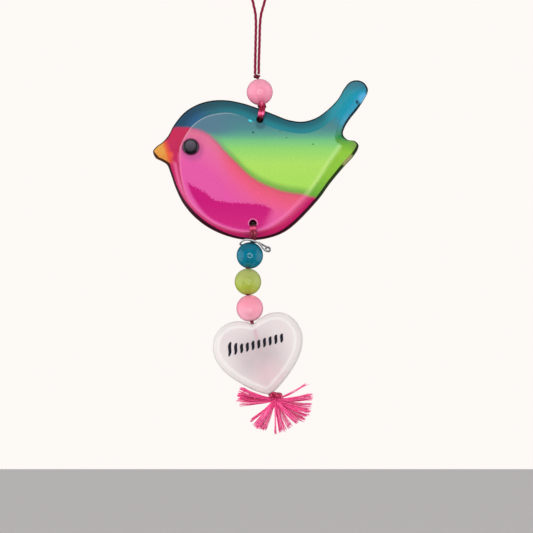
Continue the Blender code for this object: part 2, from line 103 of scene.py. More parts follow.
# Bird outline from the upper hole, as in the solid: x and z of the rim, then of the ridge
BIRD_STATIONS = (
    (-40.8, -12.1, -30.5, -13.2), (-39.7, -10.4, -30.4, -12.3), (-37.1, -8.4, -30.3, -11.1),
    (-35.1, -6, -29.8, -9.7), (-32.9, -1.8, -28.1, -6.2), (-29, 3.1, -25.3, -2.3),
    (-24.2, 6.2, -21.5, 0.4), (-18.8, 7.8, -17, 1.9), (-13, 8, -12, 2.3), (-7, 6.9, -7.2, 1.3),
    (-0.9, 4.9, -1.5, -1), (5.4, 2.4, 4.2, -3.1), (11.1, 0.2, 10.3, -4.9), (16.5, -0.4, 16.4, -5.6),
    (21.6, 1.1, 21.9, -4.3), (26.1, 4.4, 26.7, -0.8), (29.9, 8.4, 30.6, 4.3), (32.6, 13, 33.8, 8.7),
    (34.6, 15.2, 35.2, 10), (37.3, 15.9, 36.2, 10.4), (40, 14.9, 36.9, 10), (41.5, 12.1, 36.9, 9.1),
    (40.2, 9.1, 35.5, 6.7), (37.6, 5, 33.2, 3.4), (34.6, 1.2, 30.9, -0.2), (32.4, -2.5, 29.1, -4.5),
    (31.8, -5.6, 28.6, -7.6), (33.6, -7.6, 29.3, -9.1), (36.3, -8.1, 30.4, -9.6),
    (37.7, -9.8, 30.7, -10.2), (36.1, -13.1, 30.1, -11.5), (32.3, -17.4, 27, -15.9),
    (27.1, -23.7, 22.4, -23.1), (21.9, -30.8, 17.2, -30.1), (10.3, -42.3, 6.1, -40.5),
    (3, -45.3, 0.1, -43), (-4.4, -46, -6.2, -43.5), (-11.7, -44.7, -12.4, -42.2),
    (-18.9, -41.6, -18.2, -39.6), (-24.8, -37.2, -23.2, -35.6), (-29.3, -31.8, -26.8, -31.2),
    (-32.3, -25.6, -28.9, -26.2), (-34.1, -20.4, -30, -21), (-35.6, -16.8, -30.4, -17.1),
    (-37.8, -15.3, -30.5, -15.1), (-40, -14.1, -30.5, -14.1),
)
# Right half of the heart from its notch, as in the solid
HEART_STATIONS = (
    (0, 0, 0, -2.1), (2.6, 1.3, 2.3, -1), (6.9, 2.45, 6.7, 0.1), (11.5, 1.6, 10.4, -0.6),
    (15.4, -1.8, 13.4, -3.2), (17, -7.4, 14.6, -7.6), (15.3, -13.6, 13.3, -12.4),
    (10.6, -19.6, 9.1, -17.8), (5.2, -24.2, 4, -22.2), (1.7, -26.4, 1, -24.3), (0, -26.9, 0, -24.7),
)

# Hanging loop from the hook, the same route as the solid's
LOOP_ROUTE = (
    (-1.4, 0, -35), (-1.35, 0, -30), (-1.2, 0, -22), (-1.1, 0, -15), (-1.3, 0, -11), (-2, 0, -7.4),
    (-2.6, 0, -4.4), (-2.5, 0, -1.6), (-1.5, 0, 0.1), (0, 0, 0.55), (1.5, 0, 0.1), (2.5, 0, -1.6),
    (2.6, 0, -4.4), (1.9, 0, -7.4), (0.95, 0, -11), (0.5, 0, -15), (0.3, 0, -22), (0.05, 0, -30),
    (0, 0, -35),
)

# Doubled cords, as in the solids: place from the hole, half width and half thickness.
# The bight is one strand, with its half width
UPPER_LEGS = (
    (-0.95, 0, 16.35, 0.75, 0.6), (-0.13, 0, 11.4, 0.75, 0.6), (0.62, 0, 7, 0.95, 0.85),
    (0.78, -0.35, 6, 0.95, 0.55), (0.85, -1.7, 5.4, 1.15, 0.6), (0.85, -2.6, 4.4, 1.2, 0.6),
    (0.72, -2.95, 3.2, 1.25, 0.6), (0.5, -3.2, 2.3, 1.25, 0.6), (0.3, -2.95, 1.6, 1.15, 0.55),
    (0.1, -2.2, 1.1, 1.1, 0.5), (0, 0, 0.35, 1.3, 0.9), (0.1, 2.3, 0.1, 1.15, 0.75),
    (0.3, 3.1, 0.6, 1.1, 0.6), (0.5, 3.65, 1.6, 1.2, 0.6), (0.65, 3.7, 3.2, 1.2, 0.6),
    (0.7, 3.4, 4.6, 1.2, 0.6), (0.7, 2.7, 5.5, 1.1, 0.55),
)
UPPER_BIGHT = (
    (0.2, 2.9, 5.3, 0.5), (-0.3, 1.4, 5.8, 0.45), (-0.5, -0.8, 5.8, 0.45), (-0.5, -2.4, 5.45, 0.5),
    (-0.05, -3.3, 5.6, 0.6), (0.75, -3.7, 5.85, 0.7), (1.55, -3.3, 5.5, 0.6), (1.95, -2.4, 4.9, 0.5),
    (1.95, -0.8, 5.4, 0.45), (1.7, 1.4, 5.6, 0.45), (1.2, 2.9, 5.3, 0.5),
)
LOWER_LEGS = (
    (-0.4, -0.5, -8.3, 0.6, 0.4), (-0.3, -0.6, -7.05, 0.75, 0.4), (-0.05, -1.7, -6.35, 1.1, 0.5),
    (0.1, -2.8, -5.1, 1.2, 0.6), (0.1, -3.4, -3.8, 1.25, 0.6), (0.05, -3.55, -2.4, 1.25, 0.6),
    (0, -3.4, -1.9, 1.2, 0.6), (0, -3, -1.4, 1.1, 0.5), (0, -2.2, -0.95, 1.1, 0.5),
    (0, 0, 0.1, 1.3, 0.95), (0, 2, 0.7, 1.25, 0.95), (0, 3.1, 0.1, 1.1, 0.6), (0, 3.65, -1.6, 1.2, 0.6),
    (0, 3.7, -3.1, 1.2, 0.6), (0, 3.4, -4.8, 1.2, 0.6), (-0.1, 2.5, -5.9, 1.1, 0.5),
    (-0.15, 1.5, -6.55, 0.95, 0.4), (-0.3, 0.6, -7.1, 0.75, 0.4), (-0.4, 0.5, -8.3, 0.6, 0.4),
)
# The bundle through the lower beads and the heart, from the hook, with its half width
LOWER_BUNDLE = (
    (-2.45, 0, -101.4, 0.75), (-3.3, 0, -105.75, 0.75), (-4.05, 0, -110.7, 0.75), (-4, 0, -115.8, 0.75),
    (-4, 0, -120.8, 0.75), (-3.3, 0, -125.85, 0.75), (-2.55, 0, -130.7, 0.7), (-1.9, 0, -132.4, 0.6),
    (-1.2, 0, -135, 0.6), (1.2, 0, -145.7, 0.6), (3.9, 0, -157.8, 0.6),
)

# Wire clip from the hook, as in the solid
WIRE_ROUTE = (
    (3.9, 1.5, -102.7), (2.8, 2.2, -102), (1.2, 3, -101), (-0.6, 3.6, -100.1), (-3.2, 3.7, -100.5),
    (-5.6, 2.8, -101.2), (-6.7, 1.2, -101.5), (-6.9, -0.6, -101.3), (-6.3, -2.2, -100.8),
    (-5, -3, -100.3), (-3.4, -3.2, -100.4), (-1.6, -3.2, -100.8), (-0.2, -3, -101.4), (0.9, -2.7, -102.3),
    (1.7, -2.4, -103.4), (2.6, -2.1, -104.3),
)
COIL_CENTRE = (3.5, -1.2, -103.6)
COIL_RADIUS = 0.85
COIL_PITCH = 1.1
COIL_TURNS = 1.6
COIL_START = -140

# Tufts of the tassel from its core: direction from straight down towards +X, length, half
# width at the end, lean of the end, number of threads and tone from dark (0) to pale (1)
TUFTS = (
    (-109, 14, 1.3, -0.9, 46, 0.42), (-97.5, 14.2, 1.3, 0.7, 46, 0.4),
    (-86.5, 13.1, 0.4, -1.5, 12, 0.45), (-53.5, 11.7, 0.6, 1.2, 20, 0.55),
    (-38.5, 11.8, 1.3, -0.6, 40, 0.7), (-26, 11.3, 1.3, 0.9, 40, 0.62), (0.5, 11.7, 0.4, -1.4, 14, 0.6),
    (15, 11.3, 1.4, 0.4, 48, 0.62), (32, 10.9, 1.1, 1.8, 24, 0.95), (49, 11.2, 1.1, -1.2, 36, 0.6),
    (61.5, 12.8, 1.5, 0.6, 52, 0.52), (72, 13.5, 1.4, -0.8, 48, 0.52), (84.5, 13.6, 1.2, 1.4, 34, 0.72),
    (99, 14.1, 1.2, -0.5, 40, 0.48), (119, 14.1, 0.35, -1.7, 7, 0.75),
)
THREAD_RADIUS = 0.15

# Brush marks on the heart's face, in its own plane: centre and length. The first is the widest
MARKS = (
    (-10.4, -7.5, 5.4), (-8.2, -7.9, 4.4), (-6, -8.2, 3.6), (-3.8, -8.2, 3.4), (-1.6, -8.1, 3.5),
    (0.6, -8.1, 3.3), (2.8, -8, 3.5), (5, -7.9, 3.4), (7.2, -7.8, 3.5), (9.4, -7.8, 3.3),
)
MARK_WIDTHS = (1.35, 1.3)
MARK_LEAN = 20
MARK_HEIGHT = 0.05

# Cross sections: corners, plies, their depth and their turn in radians per millimetre
LOOP_FORM = (24, 3, 0.16, 2.6)
LEG_FORM = (32, 7, 0.14, 2.4)
BUNDLE_FORM = (36, 7, 0.12, 2.2)
KNOT_FORM = (20, 5, 0.12, 3)
WIRE_FORM = (20, 0, 0, 0)
THREAD_FORM = (3, 0, 0, 0)
ROUND_SIDES = 72

# Gap between the points on the flat of a plate, and the floor's place and half width
SPACING = 1.5
FLOOR_HEIGHT = -420
FLOOR_REACH = 30000
# Half depth of a painted oval, so great that only the front's plane counts
OVAL_DEPTH = 1000


def rgba(colour):
    """Linear colour with alpha of an sRGB code such as #aabbcc, or of linear numbers."""
    if isinstance(colour, str):
        values = [int(colour[i:i + 2], 16) / 255 for i in (1, 3, 5)]
        colour = [v / 12.92 if v <= 0.04045 else ((v + 0.055) / 1.055) ** 2.4 for v in values]
    return (*colour, 1)


def turned(degrees, axis):
    """Rotation about an axis."""
    return Matrix.Rotation(radians(degrees), 3, axis)


def at(place, turn=None):
    """Matrix to a place in millimetres."""
    return Matrix.Translation(Vector(place) * MM) @ (turn.to_4x4() if turn else Matrix())


# Splines and meshes


def blend(first, second, start, end, time):
    """The point between two others at a time between theirs."""
    return first + (second - first) * ((time - start) / (end - start))


def spline_point(near, times, time):
    """A point of the Catmull-Rom curve from the second to the third of four points."""
    first = [blend(near[i], near[i + 1], times[i], times[i + 1], time) for i in range(3)]
    second = [blend(first[i], first[i + 1], times[i], times[i + 2], time) for i in range(2)]
    return blend(second[0], second[1], times[1], times[2], time)


def spline(points, samples, closed=False):
    """Points on a centripetal Catmull-Rom curve through the given ones."""
    knots = [np.array(point, float) for point in points]
    if closed:
        knots = [knots[-1]] + knots + knots[:2]
    else:
        knots = [knots[0] * 2 - knots[1]] + knots + [knots[-1] * 2 - knots[-2]]
    result = []
    for index in range(len(knots) - 3):
        near = knots[index:index + 4]
        times = [0]
        for first, second in zip(near, near[1:]):
            times.append(times[-1] + max(np.linalg.norm(second - first), 1e-6) ** 0.5)
        for step in range(samples):
            time = times[1] + (times[2] - times[1]) * step / samples
            result.append(spline_point(near, times, time))
    if not closed:
        result.append(knots[-2])
    return np.array(result)


class Body:
    """Vertices in millimetres with named values, and faces, gathered before a mesh is made."""

    def __init__(self):
        self.points = []
        self.faces = []
        self.values = {}

    def ring(self, points, **values):
        """Add a ring of points and return their numbers."""
        start = len(self.points)
        self.points.extend(tuple(point) for point in points)
        for name, value in values.items():
            column = self.values.setdefault(name, [0] * start)
            column.extend(float(v) for v in np.broadcast_to(value, len(points)))
        return list(range(start, len(self.points)))

    def skin(self, rings, caps=False):
        """Four-sided faces from ring to ring, and faces over the two ends."""
        for lower, upper in zip(rings, rings[1:]):
            for i in range(len(lower)):
                j = (i + 1) % len(lower)
                self.faces.append((lower[i], lower[j], upper[j], upper[i]))
        if caps:
            self.faces.extend((tuple(rings[0]), tuple(rings[-1])))

    def piece(self, name, material, place=(0, 0, 0), turn=None, sharp=None):
        """Make the object in the frame, with its mesh in metres at its final place."""
        mesh = bpy.data.meshes.new(name)
        mesh.from_pydata(self.points, [], self.faces)
        for label, column in self.values.items():
            mesh.attributes.new(label, "FLOAT", "POINT").data.foreach_set("value", column)
        mesh.transform(at(place, turn) @ Matrix.Scale(MM, 4))
        tidy = bmesh.new()
        tidy.from_mesh(mesh)
        bmesh.ops.recalc_face_normals(tidy, faces=tidy.faces)
        tidy.to_mesh(mesh)
        tidy.free()
        mesh.shade_smooth()
        if sharp:
            mesh.set_sharp_from_angle(angle=radians(sharp))
        mesh.materials.append(material)
        made = bpy.data.objects.new(name, mesh)
        bpy.context.scene.collection.objects.link(made)
        return made


def quarter(steps, first, last):
    """Sine and cosine at some of the steps of a quarter turn."""
    turns = [radians(90) * step / steps for step in range(first, last + 1)]
    return [(sin(a), cos(a)) for a in turns]


def lathe(profile, segments, closed=False):
    """A body turned round Z from (radius, height) points. Open profiles end on the axis."""
    body = Body()
    turns = [2 * pi * step / segments for step in range(segments)]
    rings = [body.ring([(radius * cos(a), radius * sin(a), height) for a in turns])
             for radius, height in (profile if closed else profile[1:-1])]
    body.skin(rings + rings[:1] if closed else rings)
    if closed:
        return body
    for ring, (radius, height) in ((rings[0], profile[0]), (rings[-1], profile[-1])):
        pole = body.ring([(0, 0, height)])[0]
        for i in range(segments):
            body.faces.append((ring[i], ring[(i + 1) % segments], pole))
    return body


def frames(centres, first_side):
    """Two directions across a route at each of its points, carried along without twist."""
    side = np.array(first_side, float)
    sides, others = [], []
    last = len(centres) - 1
    for i in range(len(centres)):
        along = centres[min(i + 1, last)] - centres[max(i - 1, 0)]
        along = along / np.linalg.norm(along)
        side = side - along * side.dot(along)
        side = side / np.linalg.norm(side)
        sides.append(side)
        others.append(np.cross(along, side))
    return np.array(sides), np.array(others)


def distances(centres):
    """Distance along a route at each of its points."""
    steps = np.linalg.norm(np.diff(centres, axis=0), axis=1)
    return np.concatenate(([0], np.cumsum(steps)))


def strand(body, centres, axes, across, through, form, tones=None):
    """Add a tube with lobes that wind round it, like plies, to a body."""
    corners, plies, depth, twist = form
    along = distances(centres)
    turns = np.arange(corners) * 2 * pi / corners
    rings = []
    for i, centre in enumerate(centres):
        lobes = 1 - depth * (0.5 - 0.5 * np.cos(plies * turns + twist * along[i]))
        x = across[i] * np.cos(turns) * lobes
        y = through[i] * np.sin(turns) * lobes
        points = centre + axes[0][i] * x[:, None] + axes[1][i] * y[:, None]
        tone = {} if tones is None else {"tone": tones[i]}
        rings.append(body.ring(points, along=along[i], around=turns / (2 * pi), **tone))
    body.skin(rings, caps=True)


def tube(body, centres, first_side, radii, form, tones=None):
    """Add a round strand whose seam starts on a given side."""
    radii = np.broadcast_to(radii, len(centres))
    strand(body, centres, frames(centres, first_side), radii, radii, form, tones)


# Node trees


class Term:
    """A number, place or colour that a node tree works out, and short ways to build on it."""

    def __init__(self, graph, socket):
        self.graph = graph
        self.socket = socket

    def apply(self, operation, other=0):
        return self.graph.term("Math", self, other, operation=operation)

    def __add__(self, other):
        return self.apply("ADD", other)

    def __sub__(self, other):
        return self.apply("SUBTRACT", other)

    def __rsub__(self, other):
        return self.graph.term("Math", other, self, operation="SUBTRACT")

    def __mul__(self, other):
        return self.apply("MULTIPLY", other)

    def __or__(self, other):
        """The larger of two masks."""
        return self.apply("MAXIMUM", other)

    def split(self):
        """The x, y and z of a place."""
        node = self.graph.term("SeparateXYZ", self).socket.node
        return [Term(self.graph, socket) for socket in node.outputs]

    def scale(self, low, high, to_low, to_high):
        """A straight change of range, held within its ends."""
        return self.graph.term("MapRange", self, low, high, to_low, to_high)

    def step(self, low, high):
        """A soft step from 0 at low to 1 at high."""
        ends = (low, high, 0, 1) if low < high else (high, low, 1, 0)
        return self.graph.term("MapRange", self, *ends, interpolation_type="SMOOTHSTEP")

    def band(self, centre, half, soft):
        """1 within a half width of a centre, falling softly to 0 on both sides."""
        return self.step(centre - half - soft, centre - half) * self.step(centre + half + soft, centre + half)

    def distance(self, place):
        return self.graph.term("VectorMath", self, place, output="Value", operation="DISTANCE")

    def near(self, place, inner, outer):
        """1 within the inner distance of a place, falling to 0 at the outer one."""
        return self.distance(place).step(outer, inner)

    def oval(self, place, length=1, width=1, angle=0):
        """Distance from a place as seen from the front, in half lengths and half widths of an oval."""
        turn = (0, radians(angle), 0)
        size = (length, OVAL_DEPTH, width)
        offset = self.graph.term("Mapping", self, place, turn, size, vector_type="TEXTURE")
        return self.graph.term("VectorMath", offset, output="Value", operation="LENGTH")

    def noise(self, scale, detail=2, roughness=0.5):
        return self.graph.term("TexNoise", self, None, scale, detail, roughness)

    def bump(self, strength, distance):
        """Normals that follow a height."""
        return self.graph.term("Bump", strength, distance * MM, None, self)

    def between(self, first, second):
        """The first colour where a mask is 0, the second where it is 1."""
        return self.graph.mix(self, first, second)

    def mix(self, share, other):
        """A colour that turns into another where a mask says so."""
        return self.graph.mix(share, self, other)

    def over(self, *layers):
        """A colour with (mask, colour) layers painted over it, one after the other."""
        made = self
        for mask, colour in layers:
            made = made.mix(mask, colour)
        return made

    def vary(self, pattern, low, high):
        """A colour made darker and lighter by a pattern."""
        return self.graph.term("HueSaturation", None, None, pattern.scale(0.3, 0.7, low, high), None, self)

    def ramp(self, stops):
        """Colours along a value, from a colour for each of some values."""
        low, high = min(stops), max(stops)
        made = self.graph.term("ValToRGB", self.scale(low, high, 0, 1))
        elements = made.socket.node.color_ramp.elements
        for index, value in enumerate(sorted(stops)):
            share = (value - low) / (high - low)
            element = elements[index] if index < 2 else elements.new(share)
            element.position = share
            element.color = rgba(stops[value])
        return made

    def curve(self, points, low, high):
        """A smooth function of a value through (value, result) points, with results in a range."""
        left, right = points[0][0], points[-1][0]
        made = self.graph.term("FloatCurve", 1, self.scale(left, right, 0, 1))
        mapping = made.socket.node.mapping
        line = mapping.curves[0]
        for value, result in points[1:-1]:
            line.points.new((value - left) / (right - left), (result - low) / (high - low))
        line.points[0].location = (0, (points[0][1] - low) / (high - low))
        line.points[-1].location = (1, (points[-1][1] - low) / (high - low))
        mapping.update()
        return made.scale(0, 1, low, high)


class Graph:
    """The node tree of a material, light or world, built by short calls."""

    def __init__(self, owner, shader="Principled BSDF"):
        owner.use_nodes = True
        self.owner = owner
        self.nodes = owner.node_tree.nodes
        self.links = owner.node_tree.links
        self.shader = self.nodes[shader]

    def put(self, socket, value):
        """Link a term to a socket, or set it to a colour code or a plain value."""
        if isinstance(value, Term):
            self.links.new(value.socket, socket)
        else:
            socket.default_value = rgba(value) if isinstance(value, str) else value

    def term(self, kind, *values, output=0, **settings):
        """An output of a new node with the given settings and first inputs."""
        made = self.nodes.new("ShaderNode" + kind)
        for name, value in settings.items():
            setattr(made, name, value)
        for socket, value in zip(made.inputs, values):
            if value is not None:
                self.put(socket, value)
        return Term(self, made.outputs[output])

    def mix(self, share, first, second, blend_type="MIX"):
        """Two colours mixed by a share."""
        made = self.term("Mix", share, output=2, data_type="RGBA", blend_type=blend_type)
        self.put(made.socket.node.inputs[6], first)
        self.put(made.socket.node.inputs[7], second)
        return made

    def set(self, **values):
        """Set the shader's sockets, named with underscores for spaces."""
        for name, value in values.items():
            self.put(self.shader.inputs[name.replace("_", " ")], value)

    def place(self):
        """Position on the piece in millimetres."""
        metres = self.term("TexCoord", output="Object")
        return self.term("VectorMath", metres, None, None, 1 / MM, operation="SCALE")

    def stored(self, *labels):
        """Numbers stored on the mesh."""
        return [self.term("Attribute", output="Fac", attribute_name=label) for label in labels]


def new_look(name):
    return Graph(bpy.data.materials.new(name))


# Materials


PINK_LINE = (
    (-36, -56.8), (-26.9, -56.8), (-22.3, -57.8), (-19.7, -59.1), (-16.6, -61.7), (-12.2, -66.7),
    (-8.7, -70.2), (-5.2, -73.8), (-0.6, -77.4), (4.1, -79.7), (9.3, -81.5), (15.7, -82.7), (26, -84.8),
)
# Ragged edge, x and z, where the painted reflection veil over the pink ends above the deep magenta belly
BELLY_REFLECTION_EDGE = (
    (-32, -75.5), (-25.9, -78.8), (-22.1, -80.8), (-19.4, -82.7), (-16.4, -84.9), (-11.9, -85.7),
    (-5.1, -86.2), (1.3, -86.7), (5, -88.2), (16, -95),
)
# Small painted spots on the front: a painted shadow below the eye, a painted shadow below the upper hole, an
# olive patch at the tail's base, an orange spot at the beak and a painted glow at the tail's lower corner.
# Each has place, inner and outer reach, strength and colour
SPOTS_SHADOWS_AND_GLOWS = (
    ((-25, -2.75, -66), 2.6, 5.2, 0.4, "#9c4a8a"),
    ((0.7, -2.75, -55.6), 1.2, 2.6, 0.6, "#33606c"),
    ((37.6, -1.7, -63.6), 1.2, 3.6, 0.7, "#86a24f"),
    ((-33.4, -1.9, -67.4), 0.3, 1.9, 0.7, "#f4613f"),
    ((40, -1.6, -44.9), 0.8, 2.8, 0.75, "#5cbcf0"),
)
# Trapped specks and one painted glint, the last: place, half length, half width, angle, strength and colour
SPECKS = (
    ((-2.1, 0, -58.8), 0.6, 0.42, 30, 0.9, "#12303a"),
    ((8.1, 0, -58.3), 0.4, 0.3, 0, 0.6, "#12323c"),
    ((10.6, 0, -60.9), 0.45, 0.32, 0, 0.75, "#1c4a3c"),
    ((20.7, 0, -63.4), 0.45, 0.35, 0, 0.8, "#24583a"),
    ((37.7, 0, -46.7), 0.95, 0.75, 60, 0.95, "#123a52"),
    ((-3.2, 0, -54.2), 1, 0.5, 25, 1, "#40e8f4"),
)
BLACK = "#08050c"


def plateau_paint(position, x, z, ridge, below, is_pink):
    """Colour of the bird's flat front: teal over green over pink, with a painted reflection veil that is
    grey-blue at the upper left and ends at a ragged edge above the belly, below which the belly is deep
    magenta.
    """
    green = z.ramp({
        -53: "#4f8390", -57.3: "#528f94", -59.8: "#60aa92", -62: "#7acb86", -65.2: "#96dc72",
        -71: "#b2e566", -79: "#ade45e", -84: "#8fd257",
    })
    # grey-blue painted reflection at the upper left
    green = green.mix(x.step(-6, -18) * z.step(-61.5, -57.5), "#5a8296")
    near_line = below.step(-3.6, -0.2) * z.step(-58, -61)
    green = green.mix(near_line * 0.7, x.step(-16, -7).between("#7c9f84", "#5f9d48"))
    coral = below.ramp({0: "#d85470", 1.5: "#ec5d7c", 5: "#f2608c", 9: "#ee60a0", 16: "#e958aa"})
    cheek = below.ramp({0: "#c9648c", 2: "#e8769c", 6: "#ec6ea6", 14: "#ea5cab"})
    pink = cheek.mix(x.step(-19, -9), coral)
    ragged = position.noise(1.5, 3, 0.7).scale(0.25, 0.75, -1.1, 1.1)
    # 1 below the edge of the painted reflection veil, where the belly is deep magenta
    deep = (x.curve(BELLY_REFLECTION_EDGE, -100, -70) - z + ragged).step(-0.35, 0.45)
    slant = x - z.scale(-98, -88, -4.5, 0) + ragged
    inset = ridge - z.scale(-91, -85, 0, 0.9)
    magenta = z.ramp({-98: "#da2c88", -93: "#d41f80", -86: "#cf0f7c"})
    pink = pink.mix(deep * slant.step(7.5, 3.5) * inset.step(0.2, 1.5), magenta)
    return green.mix(is_pink, pink)


def bevel_paint(x, z, share, is_pink):
    """Colour of the bird's bevel: deeper than the front as painted shade of its sloped glass, and brighter
    towards the ridge.
    """
    outer = x.ramp({
        -34: "#24506a", -27: "#204a66", -20: "#22505e", -8: "#185a68", 8: "#15616f", 24: "#196c78",
        36: "#1c8496",
    })
    inner = x.ramp({
        -30: "#285a78", -24: "#265e8c", -18: "#286a7a", -6: "#1c7e8c", 8: "#1a8794", 24: "#1b8490",
        36: "#20a2ba",
    })
    teal = outer.mix(share.step(0.3, 0.85), inner)
    green = z.ramp({
        -84: "#66b03a", -76: "#90cc3e", -66.5: "#96d040", -63.5: "#78ba3c", -60.3: "#2f9150",
        -56: "#1d8386",
    })
    right = x.step(22, 28) * z.step(-53.5, -56.5)
    cool = teal.mix(z.step(-60, -64) | right, green)
    pink = z.ramp({
        -100: "#c4005e", -94: "#ca0062", -86: "#ca0868", -76: "#cc1e66", -66: "#c6265a", -60: "#ca2857",
    })
    pink = pink.mix(share.step(0.35, 0.85) * x.step(2, 14) * 0.8, "#e04a80")
    return cool.mix(is_pink, pink)


def beak_paint(x, z, colour):
    """The amber beak, with an orange edge where it meets the head."""
    edge = x + z * 0.306
    above = z.step(-71.6, -69.2)
    colour = colour.mix(edge.step(-52.9, -55.2) * above, "#ea5a3a")
    beak = z.ramp({-69.5: "#e48c3a", -66: "#eba54a", -62.5: "#e4a144"})
    return colour.mix(edge.step(-54.6, -56.6) * above, beak)


def tail_paint(x, z, colour):
    """The tail's teal: darker on its left side, and bright on its right side as a painted glow of light
    through its edge.
    """
    strips = (x * 0.82 - z * 0.57).ramp({
        46.6: "#17616e", 49: "#1a7280", 51.4: "#2a93a2", 53.6: "#2199ad", 56.5: "#129dbd", 59: "#34a8d0",
    })
    strips = strips.mix(z.step(-44, -39.5) * 0.8, "#3d7587")
    return colour.mix((x * 0.57 + z * 0.82).step(-30.5, -24), strips)


def ridge_paint(colour, lit, front, x, z, share, ridge, up, side):
    """Painted highlights along the bevel's ridge and down the throat, and a dark line in the throat."""
    left = up.step(0.45, 0.05) * side.step(0.5, 0.1) * z.step(-62, -68) * front
    left_glow = ridge.band(-0.1, 0.25, 0.8) * 0.4 | ridge.band(0, 0.1, 0.22) * 0.8
    right = up.step(0.35, 0) * side.step(0.1, 0.5) * z.step(-60.5, -63) * front
    right_glow = ridge.band(0.3, 0.5, 1) * 0.5 | ridge.band(0.1, 0.12, 0.25) * 0.6
    top = up.step(0, 0.4) * x.step(-4, -14) * front
    throat = side.step(-0.45, -0.75) * z.step(-68.5, -71.5) * z.step(-86, -78) * front
    return colour.over(
        (left * left_glow * 0.6, lit),
        (right * right_glow * 0.6, lit),
        (top * ridge.band(0, 0.08, 0.2) * 0.25, "#ffffff"),
        (throat * share.band(0.62, 0.06, 0.16) * 0.4, lit),
        (throat * share.band(0.88, 0.02, 0.05) * 0.5, "#a3164e"),
    )


def bird_paint(look):
    """Colour of the bird's glass with its painted highlights, reflection, glint and shadows, its place and
    where its dark edge line runs.
    """
    position = look.place()
    x, y, z = position.split()
    share, line, ridge, up, side = look.stored("share", "line", "ridge", "up", "side")
    flat = ridge.step(-0.15, 0.2) | y.step(1, 2.4)
    front = y.step(-0.4, -1.2)
    wobble = position.noise(0.9).scale(0, 1, -0.5, 0.5)
    below = x.curve(PINK_LINE, -90, -50) - z + wobble
    is_pink = below.step(-0.8, 0.8)

    plateau = plateau_paint(position, x, z, ridge, below, is_pink)
    glass = bevel_paint(x, z, share, is_pink).mix(flat, plateau)
    glass = tail_paint(x, z, beak_paint(x, z, glass))
    # tints of the painted highlights along the ridge
    lit = is_pink.between("#dcf5a4", "#ff8fc4")
    colour = ridge_paint(glass, lit, front, x, z, share, ridge, up, side)
    for place, length, width, angle, strength, code in SPECKS:
        speck_and_glint = position.oval(place, length, width, angle).step(1, 0.5)
        colour = colour.mix(speck_and_glint * front * strength, code)
    # painted highlight on the lower hole's countersink
    rim = position.oval(LOWER_HOLE).band(1.75, 0.1, 0.16) * z.step(-95.2, -94) * front
    # painted contact shadow round the eye
    painted_eye_shadow = position.oval(EYE).step(3.55, 3) * flat * front
    colour = colour.over((rim * 0.5, "#f4a9d0"), (painted_eye_shadow, "#2a0f22"))
    # painted shadows, a painted glow and colour spots
    for place, inner, reach, strength, code in SPOTS_SHADOWS_AND_GLOWS:
        colour = colour.mix(position.near(place, inner, reach) * front * strength, code)

    tan = position.near((33.9, -1.6, -69.2), 1.8, 3.2) * line.step(1.5, 0.9)
    # no dark line where the painted glow lies at the tail's lower corner
    lit_corner = position.near((40.2, -1.6, -45), 1.6, 3.2)
    dark = line.step(1.15, 0.88) * (1 - tan) * (1 - lit_corner)
    wall = y.step(-0.7, 0.1) * y.step(2.5, 2.1) * line.step(0.5, 0.15)
    colour = colour.over((tan * 0.85, "#a08a66"), (dark * 0.95, BLACK), (wall, glass.mix(0.72, BLACK)))
    return colour.vary(position.noise(1.8, 3, 0.7), 0.92, 1.08), position, dark


def bird_material():
    look = new_look("bird_glass_look")
    colour, position, dark = bird_paint(look)
    look.set(Base_Color=colour, Roughness=0.4, IOR=1.5, Transmission_Weight=0.2)
    look.set(Normal=position.noise(3.2).bump(0.08, 0.05), Specular_IOR_Level=0.2)
    look.set(Coat_Weight=dark.scale(0, 1, 1, 0), Coat_Roughness=0.03)
    return look.owner


def eye_material():
    """Black glass with a painted soft grey reflection over its middle, lighter towards its top."""
    look = new_look("eye_look")
    position = look.place()
    painted_reflection = position.split()[2].ramp({-67: "#2c2930", -64.6: "#4b4650", -62: "#5d5863"})
    # the soft grey disc of painted reflection
    middle = position.near((EYE[0], EYE[1] - EYE_HEIGHT, EYE[2] + 0.05), 1.75, 2.45)
    fine = position.noise(2)
    look.set(Base_Color=middle.between("#0a080d", painted_reflection).vary(fine, 0.95, 1.05), Roughness=0.3, IOR=1.5)
    look.set(Normal=fine.bump(0.03, 0.1), Coat_Weight=1, Coat_Roughness=0.03)
    return look.owner


def bead_material(node, low, middle, high):
    """Translucent bead: cloudy colours, with painted light and shade from its lower to its upper side."""
    look = new_look(node + "_look")
    position = look.place()
    bottom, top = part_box(node)
    cloud = position.noise(0.3, 3, 0.6)
    height = position.split()[2].scale(bottom.z / MM, top.z / MM, 0, 1)
    height = height + cloud.scale(0.3, 0.7, -0.18, 0.18)
    colour = height.ramp({0.1: low, 0.5: middle, 0.9: high})
    look.set(Base_Color=colour, Roughness=0.32, IOR=1.2, Transmission_Weight=0.3, Specular_IOR_Level=0.1)
    look.set(Normal=cloud.bump(0.05, 0.2), Coat_Weight=0.8, Coat_Roughness=0.08)
    return look.owner


